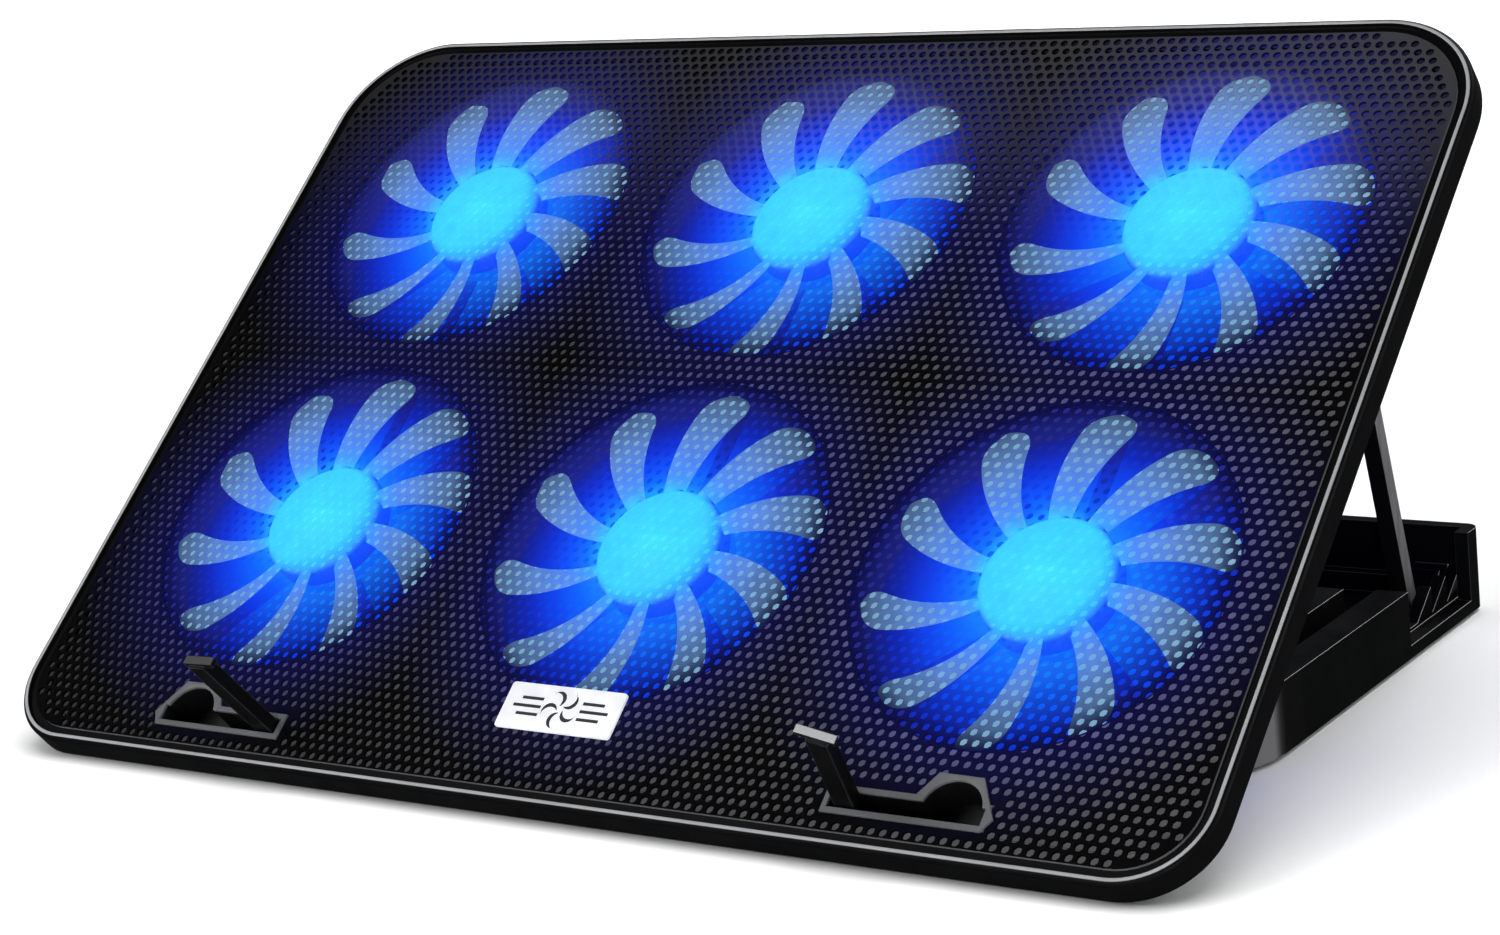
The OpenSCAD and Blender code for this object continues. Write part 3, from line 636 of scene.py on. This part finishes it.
def refined(node, paint, width_mm, space=PANEL, segments=2, smooth=35, edge_paint=None):
    """A softened copy of a CAD node: flat faces joined up and edges rounded, in a space of its own."""
    source = frame["nodes"][node]
    bm = bmesh.new()
    bm.from_mesh(source.data)
    bmesh.ops.remove_doubles(bm, verts=bm.verts, dist=2e-6)
    bmesh.ops.dissolve_limit(bm, angle_limit=math.radians(0.6), verts=bm.verts, edges=bm.edges)
    bmesh.ops.transform(bm, matrix=space.inverted(), verts=bm.verts)
    mesh = bpy.data.meshes.new(node + "_shape")
    bm.to_mesh(mesh)
    bm.free()
    obj = bpy.data.objects.new(node + "_shape", mesh)
    scene.collection.objects.link(obj)
    obj.matrix_world = space
    finish_piece(obj, source["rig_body"], [paint], (node,), smooth)
    add_bevel(obj, width_mm, segments, edge_paint)
    return obj


def arc(cx, cy, r, start, end, steps):
    """Points along an arc, angles in degrees."""
    span = [math.radians(start + (end - start) * k / steps) for k in range(steps + 1)]
    return [(cx + r * math.cos(a), cy + r * math.sin(a)) for a in span]


def rounded_loop(inset, steps=20):
    """The panel's outline moved inward, counter-clockwise from the right of the front edge."""
    half = PANEL_W / 2 - inset
    low, high = inset, PANEL_D - inset
    front, rear = FRONT_R - inset, REAR_R - inset
    loop = arc(half - front, low + front, front, -90, 0, steps)
    loop += arc(half - rear, high - rear, rear, 0, 90, steps)
    loop += arc(-half + rear, high - rear, rear, 90, 180, steps)
    loop += arc(-half + front, low + front, front, 180, 270, steps)
    return loop


def ring_faces(count, around, closed=True):
    """Quads between count loops of the same length; closed joins the last loop to the first."""
    faces = []
    for i in range(count if closed else count - 1):
        a, b = i * around, ((i + 1) % count) * around
        for k in range(around):
            n = (k + 1) % around
            faces.append((a + k, a + n, b + n, b + k))
    return faces


# ---------------------------------------------------------------- the rim
SHOULDER_R = 1.55
CREST_R = 0.35


def rim_profile():
    """(inset, depth) round the rim's section, and how many of its points come before the ledge's top."""
    shoulder = [math.radians(d) for d in range(0, 91, 15)]
    crest = [math.radians(d) for d in range(0, 91, 30)]
    outer = [(0.35, EDGE_H), (0.0, EDGE_H - 0.35)]
    outer += [(SHOULDER_R * (1 - math.cos(a)), SHOULDER_R * (1 - math.sin(a))) for a in shoulder]
    outer += [(RIM_T - CREST_R * (1 - math.sin(a)), CREST_R * (1 - math.cos(a))) for a in crest]
    outer += [(RIM_T + 0.02, LEDGE_TOP - 0.3), (RIM_T + 0.3, LEDGE_TOP)]
    ledge = [(RIM_T + GROOVE_W + 0.1, LEDGE_TOP), (LEDGE_IN - 0.2, LEDGE_TOP), (LEDGE_IN, LEDGE_TOP + 0.2),
             (LEDGE_IN, LEDGE_BOTTOM - 0.2), (LEDGE_IN - 0.2, LEDGE_BOTTOM)]
    inner = [(RIM_T + 0.4, LEDGE_BOTTOM), (RIM_T, LEDGE_BOTTOM + 0.4), (RIM_T, EDGE_H - 0.3),
             (RIM_T - 0.3, EDGE_H)]
    return outer + ledge + inner, len(outer)


def build_rim():
    profile, covered = rim_profile()
    verts = [(x, v, -depth) for inset, depth in profile for x, v in rounded_loop(inset)]
    around = len(rounded_loop(0))
    faces = ring_faces(len(profile), around)
    face_paints = [1 if k // around == covered else 0 for k in range(len(faces))]
    piece("rim", verts, faces, "panel", [rim_black, ledge_black], replaced=("top_frame",),
          smooth=30, face_paints=face_paints)


# ---------------------------------------------------------------- the perforated sheet
HOLE_PITCH = 3.36
HOLE_ROW = 2.995
HOLE_ROWS = 85
FIRST_ROW = 6.2
HOLE_R = 1.2
HOLE_SIDES = 8
SHEET_T = 0.8
SHEET_CUT = FIRST_ROW + 44.5 * HOLE_ROW
CUP_T = 1.2
WELL_GAP = CUP_T + 0.3
WELL_X0, WELL_X1 = STOP_X - 3.6, STOP_X + 39.4
WELL_V0, WELL_V1 = STOP_V - 2.4, STOP_V + 2.4
HOLLOW_X, HOLLOW_V, HOLLOW_R = STOP_X + 30.1, STOP_V + 0.5, 8.5
BADGE_V = 28.5
BADGE_HALF = (18.7, 6.9)


def well_loop(grow, side):
    """Outline of a stop's well in the sheet, for the right (+1) or left (-1) side."""
    top = WELL_V1 + grow
    r = HOLLOW_R + grow
    start = math.degrees(math.asin((top - HOLLOW_V) / r))
    loop = [(WELL_X0 - grow, WELL_V0 - grow), (WELL_X1 + grow, WELL_V0 - grow), (WELL_X1 + grow, top)]
    loop += arc(HOLLOW_X, HOLLOW_V, r, start, 180 - start, 14)
    loop.append((WELL_X0 - grow, top))
    return loop if side > 0 else [(-x, v) for x, v in reversed(loop)]


def in_well(x, v, grow):
    """True if a place is inside either stop's well, made larger by grow."""
    x = abs(x)
    in_slot = WELL_X0 - grow < x < WELL_X1 + grow and WELL_V0 - grow < v < WELL_V1 + grow
    in_round = math.hypot(x - HOLLOW_X, v - HOLLOW_V) < HOLLOW_R + grow and v > WELL_V0 - grow
    return in_slot or in_round


def in_sheet(x, v, inset):
    """True if a place is inside the panel's outline moved inward by inset."""
    half, low, high = PANEL_W / 2 - inset, inset, PANEL_D - inset
    r = (FRONT_R if v < PANEL_D / 2 else REAR_R) - inset
    x = abs(x)
    if x > half or v < low or v > high:
        return False
    cx, cv = half - r, (low + r if v < PANEL_D / 2 else high - r)
    beyond = v < cv if v < PANEL_D / 2 else v > cv
    return not (x > cx and beyond and math.hypot(x - cx, v - cv) > r)


def half_outline(rear):
    """Outline of the sheet's front or rear half, cut along a row gap."""
    whole = rounded_loop(RIM_T + GROOVE_W, 12)
    half = [p for p in whole if (p[1] > SHEET_CUT) == rear]
    right, left = PANEL_W / 2 - RIM_T - GROOVE_W, -PANEL_W / 2 + RIM_T + GROOVE_W
    if rear:
        return half + [(left, SHEET_CUT), (right, SHEET_CUT)]
    middle = len(half) // 2
    return half[:middle] + [(right, SHEET_CUT), (left, SHEET_CUT)] + half[middle:]


def hole_places():
    """Centres of the staggered holes that fit on the sheet."""
    edge_in = RIM_T + GROOVE_W + HOLE_R + 0.35
    well_grow = WELL_GAP + HOLE_R + 0.3
    columns = int(PANEL_W / HOLE_PITCH / 2) + 1
    for row in range(HOLE_ROWS):
        v = FIRST_ROW + row * HOLE_ROW
        for column in range(-columns, columns + 1):
            x = (column + 0.5 * (row % 2)) * HOLE_PITCH
            under_badge = abs(x) < BADGE_HALF[0] - 1 and abs(v - BADGE_V) < BADGE_HALF[1] - 1
            if in_sheet(x, v, edge_in) and not in_well(x, v, well_grow) and not under_badge:
                yield x, v


def sheet_loops(rear):
    """The outline of one half, then its wells, then its holes, and how many wells there are."""
    wells = [] if rear else [well_loop(WELL_GAP, 1), well_loop(WELL_GAP, -1)]
    turns = [math.radians(360 * (k + 0.5) / HOLE_SIDES) for k in range(HOLE_SIDES)]
    holes = [[(x + HOLE_R * math.cos(a), v + HOLE_R * math.sin(a)) for a in turns]
             for x, v in hole_places() if (v > SHEET_CUT) == rear]
    return [half_outline(rear)] + wells + holes, len(wells)


def sheet_triangles(points, edges, owner, wells):
    """Triangles of the sheet's web, turned to face up, without those inside a hole or a well."""
    kept = []
    for t in delaunay_2d_cdt(points, edges, [], 1, 1e-5)[2]:
        a, b, c = (points[k] for k in t)
        owners = {owner[k] for k in t}
        if len(owners) == 1:
            loop_id = owners.pop()
            middle = (a + b + c) / 3
            if loop_id > wells or (loop_id > 0 and in_well(middle.x, middle.y, WELL_GAP)):
                continue
        turn = (b.x - a.x) * (c.y - a.y) - (b.y - a.y) * (c.x - a.x)
        kept.append(tuple(t) if turn > 0 else tuple(reversed(t)))
    return kept


def sheet_half(name, rear):
    """One closed half of the sheet: flat faces above and below, and a wall round every hole."""
    loops, wells = sheet_loops(rear)
    points, edges, owner = [], [], []
    for index, loop in enumerate(loops):
        start = len(points)
        points += [Vector(p) for p in loop]
        owner += [index] * len(loop)
        edges += [(start + k, start + (k + 1) % len(loop)) for k in range(len(loop))]
    kept = sheet_triangles(points, edges, owner, wells)
    count = len(points)
    faces = kept + [tuple(count + k for k in reversed(t)) for t in kept]
    face_paints = [0] * len(faces)
    for a, b in edges:
        wall = (a, b, count + b, count + a)
        faces.append(wall if owner[a] else tuple(reversed(wall)))
        face_paints.append(1 if owner[a] > wells else 2)
    verts = [(p.x, p.y, -SHEET_TOP) for p in points] + [(p.x, p.y, -SHEET_TOP - SHEET_T) for p in points]
    piece(name, verts, faces, "panel", [sheet_face, sheet_wall, sheet_border],
          replaced=("mesh_grille",), face_paints=face_paints, fix=False, smooth=50)


def build_sheet():
    sheet_half("perforated_sheet_front", False)
    sheet_half("perforated_sheet_rear", True)


# ---------------------------------------------------------------- the rotors
BLADES = 10
BLADE_SWEEP = math.radians(14)
BLADE_PHASE = math.radians(10)
ROOT_W, TIP_W, TIP_ROUND = 5.2, 14.2, 5.6
BLADE_PITCH = (24, 9)
BLADE_DEPTH = 5.3
BLADE_T = 0.6
BLADE_STEPS, BLADE_ACROSS = 20, 6
HUB_TOP = 3.2
HUB_BOTTOM = 11.0


def blade_section(t, across):
    """A point of a blade's middle surface: t from root to tip, across from -1 to 1, with its rounded tip."""
    r = HUB_R - 1.0 + (BLADE_TIP_R - HUB_R + 1.0) * t
    width = ROOT_W + (TIP_W - ROOT_W) * t ** 1.1
    into_tip = max(0.0, (r - BLADE_TIP_R + TIP_ROUND) / TIP_ROUND)
    width -= 2 * TIP_ROUND * (1 - math.sqrt(max(0.0, 1 - into_tip * into_tip)))
    side = across * width / 2
    a = BLADE_SWEEP * t ** 1.5 + math.asin(side / r)
    pitch = math.radians(BLADE_PITCH[0] + (BLADE_PITCH[1] - BLADE_PITCH[0]) * t)
    camber = 0.7 * (1 - across * across)
    depth = BLADE_DEPTH + side * math.tan(pitch) * 0.8 - camber
    return Vector((r * math.sin(a), r * math.cos(a), -depth))


def hub_rings():
    """(radius, depth) round the hub cup's section, from the middle of its top to the middle of its bore."""
    corner_r = 3
    corner = [(HUB_R - corner_r * (1 - math.sin(a)), HUB_TOP + 0.3 + corner_r * (1 - math.cos(a)))
              for a in [math.radians(d) for d in (0, 22, 45, 68, 90)]]
    crown = [(0.0, HUB_TOP - 0.1), (6.0, HUB_TOP - 0.1), (7.0, HUB_TOP + 0.15), (17.0, HUB_TOP + 0.25)]
    foot = [(HUB_R, HUB_BOTTOM - 0.4), (HUB_R - 0.4, HUB_BOTTOM), (HUB_R - 1.6, HUB_BOTTOM),
            (HUB_R - 2, HUB_BOTTOM - 0.4)]
    inside = [(HUB_R - 2, HUB_TOP + 4), (HUB_R - 3.4, HUB_TOP + 2), (4.0, HUB_TOP + 2), (4.0, HUB_TOP + 2.6)]
    bore = [(1.56, HUB_TOP + 2.6), (1.56, HUB_TOP + 0.6), (0.0, HUB_TOP + 0.6)]
    return crown + corner + foot + inside + bore


def add_hub(verts, faces, around=64):
    """The hub cup: a turned shape closed by a fan of triangles at each end."""
    rings = hub_rings()
    turns = [2 * math.pi * k / around for k in range(around)]
    for r, depth in rings:
        if r == 0.0:
            verts.append((0, 0, -depth))
        else:
            verts += [(r * math.cos(a), r * math.sin(a), -depth) for a in turns]
    last = 1 + (len(rings) - 3) * around
    faces += [(0, 1 + k, 1 + (k + 1) % around) for k in range(around)]
    for a in range(1, last, around):
        b = a + around
        faces += [(a + k, b + k, b + (k + 1) % around, a + (k + 1) % around) for k in range(around)]
    faces += [(len(verts) - 1, last + (k + 1) % around, last + k) for k in range(around)]


def add_blade_skin(verts, faces, turn, side):
    """The upper (+1) or lower (-1) skin of one blade, which is thickest along its middle."""
    base, row = len(verts), BLADE_ACROSS + 1
    for i in range(BLADE_STEPS + 1):
        for j in range(row):
            across = -1 + 2 * j / BLADE_ACROSS
            p = blade_section(1 - (1 - i / BLADE_STEPS) ** 1.8, across)
            p.z += side * BLADE_T * (1 - 0.75 * across ** 2) * (1 - 0.4 * i / BLADE_STEPS)
            verts.append(tuple(turn @ p))
    for i in range(BLADE_STEPS):
        for j in range(BLADE_ACROSS):
            a = base + i * row + j
            quad = (a, a + 1, a + row + 1, a + row)
            faces.append(quad if side > 0 else tuple(reversed(quad)))


def add_blade(verts, faces, turn):
    """Two skins joined by a strip round their border."""
    top = len(verts)
    add_blade_skin(verts, faces, turn, 1)
    bottom = len(verts)
    add_blade_skin(verts, faces, turn, -1)
    row = BLADE_ACROSS + 1
    border = list(range(row))
    border += [i * row + BLADE_ACROSS for i in range(1, BLADE_STEPS + 1)]
    border += [BLADE_STEPS * row + j for j in range(BLADE_ACROSS - 1, -1, -1)]
    border += [i * row for i in range(BLADE_STEPS - 1, 0, -1)]
    for a, b in zip(border, border[1:] + border[:1]):
        faces.append((top + a, bottom + a, bottom + b, top + b))


def build_rotor(index):
    verts, faces = [], []
    add_hub(verts, faces)
    for blade in range(BLADES):
        add_blade(verts, faces, Matrix.Rotation(BLADE_PHASE - 2 * math.pi * blade / BLADES, 3, "Z"))
    number = index + 1
    space = PANEL @ Matrix.Translation((FANS[index].x * MM, FANS[index].y * MM, 0))
    piece(f"rotor_{number}", verts, faces, f"rotor_{number}", [rotor_glow], space=space,
          replaced=(f"fan_rotor_{number}",), smooth=40)


# ---------------------------------------------------------------- the badge
def plate(outline, top, bottom, soft=0.25):
    """A flat plate with a softened upper edge: loops of the same outline at several depths."""
    n = len(outline)
    middle = Vector((sum(p[0] for p in outline) / n, sum(p[1] for p in outline) / n))
    reach = max(abs(p[0] - middle.x) for p in outline)
    loops = [(1.0, bottom), (1.0, top + soft), (1 - soft * 0.3 / reach, top + soft * 0.35),
             (1 - soft / reach, top)]
    verts = []
    for scale, depth in loops:
        places = [middle + (Vector(p) - middle) * scale for p in outline]
        verts += [(p.x, p.y, -depth) for p in places]
    faces = ring_faces(len(loops), n, closed=False)
    faces.append(tuple(reversed(range(n))))
    faces.append(tuple(range(3 * n, 4 * n)))
    return verts, faces


def mark_shapes():
    """Outlines of the badge's own mark: a five-vane pinwheel between two sets of three bars."""
    shapes = []
    for vane in range(5):
        turn = Matrix.Rotation(math.radians(72 * vane), 2)
        outer = arc(2.2, 2.6, 2.4, -130, 60, 8)
        inner = arc(1.2, 3.5, 2.6, 40, -100, 8)
        shapes.append([turn @ Vector(p) for p in outer + inner])
    start, half = 6.4, 0.45
    for side in (-1, 1):
        for level, length in ((2.4, 7.0), (0.0, 9.0), (-2.4, 7.0)):
            near, far = side * start, side * (start + length)
            low, high = level - half, level + half
            bar = [(near, low), (far, low), (far, high), (near, high)]
            shapes.append([Vector(p) for p in (bar if side > 0 else bar[::-1])])
    return shapes


def build_badge_plate():
    w, h, r = BADGE_HALF[0], BADGE_HALF[1], 0.9
    corners = [(w - r, -h + r, -90), (w - r, h - r, 0), (-w + r, h - r, 90), (-w + r, -h + r, 180)]
    outline = [p for cx, cy, a in corners for p in arc(cx, BADGE_V + cy, r, a, a + 90, 5)]
    verts, faces = plate(outline, -0.2, SHEET_TOP)
    piece("badge_plate", verts, faces, "panel", [badge_satin], replaced=("badge",))


def build_badge_mark(top=0.26, bottom=0.15):
    verts, faces = [], []
    for shape in mark_shapes():
        start, n = len(verts), len(shape)
        for height in (top, bottom):
            verts += [(p.x, p.y + BADGE_V, height) for p in shape]
        faces.append(tuple(range(start, start + n)))
        faces.append(tuple(reversed(range(start + n, start + 2 * n))))
        for k in range(n):
            after = (k + 1) % n
            faces.append((start + k, start + after, start + n + after, start + n + k))
    piece("badge_mark", verts, faces, "panel", [mark_ink])


# ---------------------------------------------------------------- stage, light and camera
def build_floor():
    """A pale floor that brightens to white away from the pad."""
    bpy.ops.mesh.primitive_plane_add(size=12)
    floor = bpy.context.object
    floor.name = "floor"
    p = Paint("floor_pale", (0.86, 0.86, 0.86, 1), 0.5, specular=0.2)
    p.set("Base Color", p.mix(p.noise(400, 2), (0.84, 0.84, 0.843, 1), (0.88, 0.88, 0.883, 1)))
    away = p.node("ShaderNodeVectorMath", {0: p.place()}, operation="LENGTH").outputs["Value"]
    p.glow((1, 1, 1, 1), p.ramp(p.math("DIVIDE", away, 2.0), [(0.2, 0.0), (1.0, 1.0)]))
    floor.data.materials.append(p.mat)
    floor.visible_glossy = False
    return floor


def area_light(name, place, target, size, power, only=None):
    """A rectangular soft light; only keeps it to one object."""
    data = bpy.data.lights.new(name, "AREA")
    data.shape = "RECTANGLE"
    data.size, data.size_y = size
    data.energy = power
    obj = bpy.data.objects.new(name, data)
    scene.collection.objects.link(obj)
    obj.location = place
    obj.rotation_euler = (Vector(target) - Vector(place)).to_track_quat("-Z", "Y").to_euler()
    if only:
        group = bpy.data.collections.new(name + "_only")
        group.objects.link(only)
        obj.light_linking.receiver_collection = group
    return obj


def build_light(floor):
    """White behind everything for the camera, a dim grey sky for the pad, and soft lamps round it."""
    world = bpy.data.worlds.new("studio")
    scene.world = world
    world.use_nodes = True
    nodes, links = world.node_tree.nodes, world.node_tree.links
    background = nodes["Background"]
    ray = nodes.new("ShaderNodeLightPath")
    mix = nodes.new("ShaderNodeMix")
    mix.data_type = "RGBA"
    mix.inputs[6].default_value = (0.07, 0.072, 0.076, 1)
    mix.inputs[7].default_value = (1.0, 1.0, 1.0, 1)
    links.new(ray.outputs["Is Camera Ray"], mix.inputs[0])
    links.new(mix.outputs[2], background.inputs["Color"])
    background.inputs["Strength"].default_value = 1.0
    area_light("key", (-0.7, -1.1, 1.3), (0, 0, 0), (1.0, 0.5), 12)
    area_light("front_low", (-0.2, -1.9, 0.35), (0, 0, 0.08), (1.8, 0.4), 6)
    area_light("back", (0.3, 1.3, 1.1), (0, 0.1, 0.05), (1.6, 0.4), 5)
    area_light("side", (1.7, 0.3, 0.8), (0.1, 0, 0.05), (0.4, 1.2), 6)
    area_light("corner_strip", (0.95, -1.30, 0.12), (0.15, 0, 0.02), (0.10, 0.5), 3)
    area_light("floor_wash", (0.2, 0.1, 2.2), (0.1, 0.1, 0), (2.6, 2.6), 75, floor)


def build_camera():
    """The viewing angle: azimuth, elevation and roll in degrees, aimed at a point on the panel."""
    azimuth, elevation, roll = 35.66, 13.98, -6.21
    distance = 0.8834
    lens = 79.72
    aim = Vector((0.02418, -0.02822, 0.0740))
    data = bpy.data.cameras.new("camera")
    data.lens = lens
    data.sensor_width = 36
    data.clip_start = 0.01
    camera = bpy.data.objects.new("camera", data)
    scene.collection.objects.link(camera)
    a, e = math.radians(azimuth), math.radians(elevation)
    back = Vector((math.sin(a) * math.cos(e), -math.cos(a) * math.cos(e), math.sin(e)))
    camera.location = aim + back * distance
    turn = (-back).to_track_quat("-Z", "Y").to_matrix() @ Matrix.Rotation(math.radians(roll), 3, "Z")
    camera.rotation_euler = turn.to_euler()
    scene.camera = camera
    scene.view_settings.view_transform = "Standard"


# ---------------------------------------------------------------- pieces that follow the CAD closely
def build_shell_copies():
    """The tray and what lies in it round the fans."""
    refined("bottom_tray", tray_lit, 0.3)
    refined("fan_deck", deck_black, 0.2, smooth=20)
    refined("intake_screens", screen_cloth, 0.1)
    refined("fan_frames", frame_lit, 0.25)


def tilt_head(obj, pivot_x, lean, turn):
    """Turn a stop's head bar by some degrees about its middle, across the arm."""
    arm = stop_axis(lean)
    pivot = Vector((pivot_x, STOP_V, -STOP_DEPTH)) * MM
    middle = pivot + arm * (STOP_LEN - HEAD_T / 2) * MM
    spin = Matrix.Rotation(math.radians(turn), 3, "Y")
    for v in obj.data.vertices:
        if (v.co - pivot).dot(arm) > (STOP_LEN - HEAD_T - 0.1) * MM:
            v.co = middle + spin @ (v.co - middle)


def build_stops():
    """The cups and the stops; the right stop's head is twisted a little, as in the photograph."""
    refined("stop_cup_left", cup_grey, 0.25)
    refined("stop_cup_right", cup_grey, 0.25)
    refined("stop_left", stop_dull, 0.4, segments=3)
    right = refined("stop_right", stop_highlit, 0.4, segments=3)
    tilt_head(right, STOP_X, LEAN_RIGHT, HEAD_TURN)


def build_inside():
    """Controls, wiring, fan insides and fasteners."""
    refined("control_board", board_green, 0.1)
    refined("usb_ports", port_steel, 0.12)
    refined("dial_pot", screw_steel, 0.1)
    refined("speed_dial", grip_black, 0.2)
    refined("fan_wires", wire_lit, 0.15)
    refined("fan_stators", winding_copper, 0.2)
    refined("fan_bearings", bronze, 0.15)
    refined("led_lamps", lamp_glow, 0.4, segments=3)
    refined("fan_screws", screw_steel, 0.15)
    refined("panel_screws", screw_steel, 0.2)
    refined("stop_pins", pin_steel, 0.15)
    refined("hinge_pins", pin_steel, 0.25, space=DESK)
    for number in range(1, 7):
        refined(f"fan_shaft_{number}", pin_steel, 0.2)


def build_prop():
    refined("prop_frame", prop_black, 0.6, space=DESK, segments=3)
    refined("prop_shaft", pin_steel, 0.4, space=DESK)
    refined("prop_feet", rubber_black, 0.5, space=DESK)


def build_base():
    refined("base_shell", base_black, 0.95, space=DESK, segments=3, edge_paint=base_edge)
    refined("base_plate", plate_black, 0.3, space=DESK)
    refined("base_feet", rubber_black, 0.35, space=DESK)
    refined("base_screws", screw_steel, 0.2, space=DESK)


build_rim()
build_sheet()
for fan in range(6):
    build_rotor(fan)
build_badge_plate()
build_badge_mark()
build_shell_copies()
build_stops()
build_inside()
build_prop()
build_base()
build_light(build_floor())
build_camera()
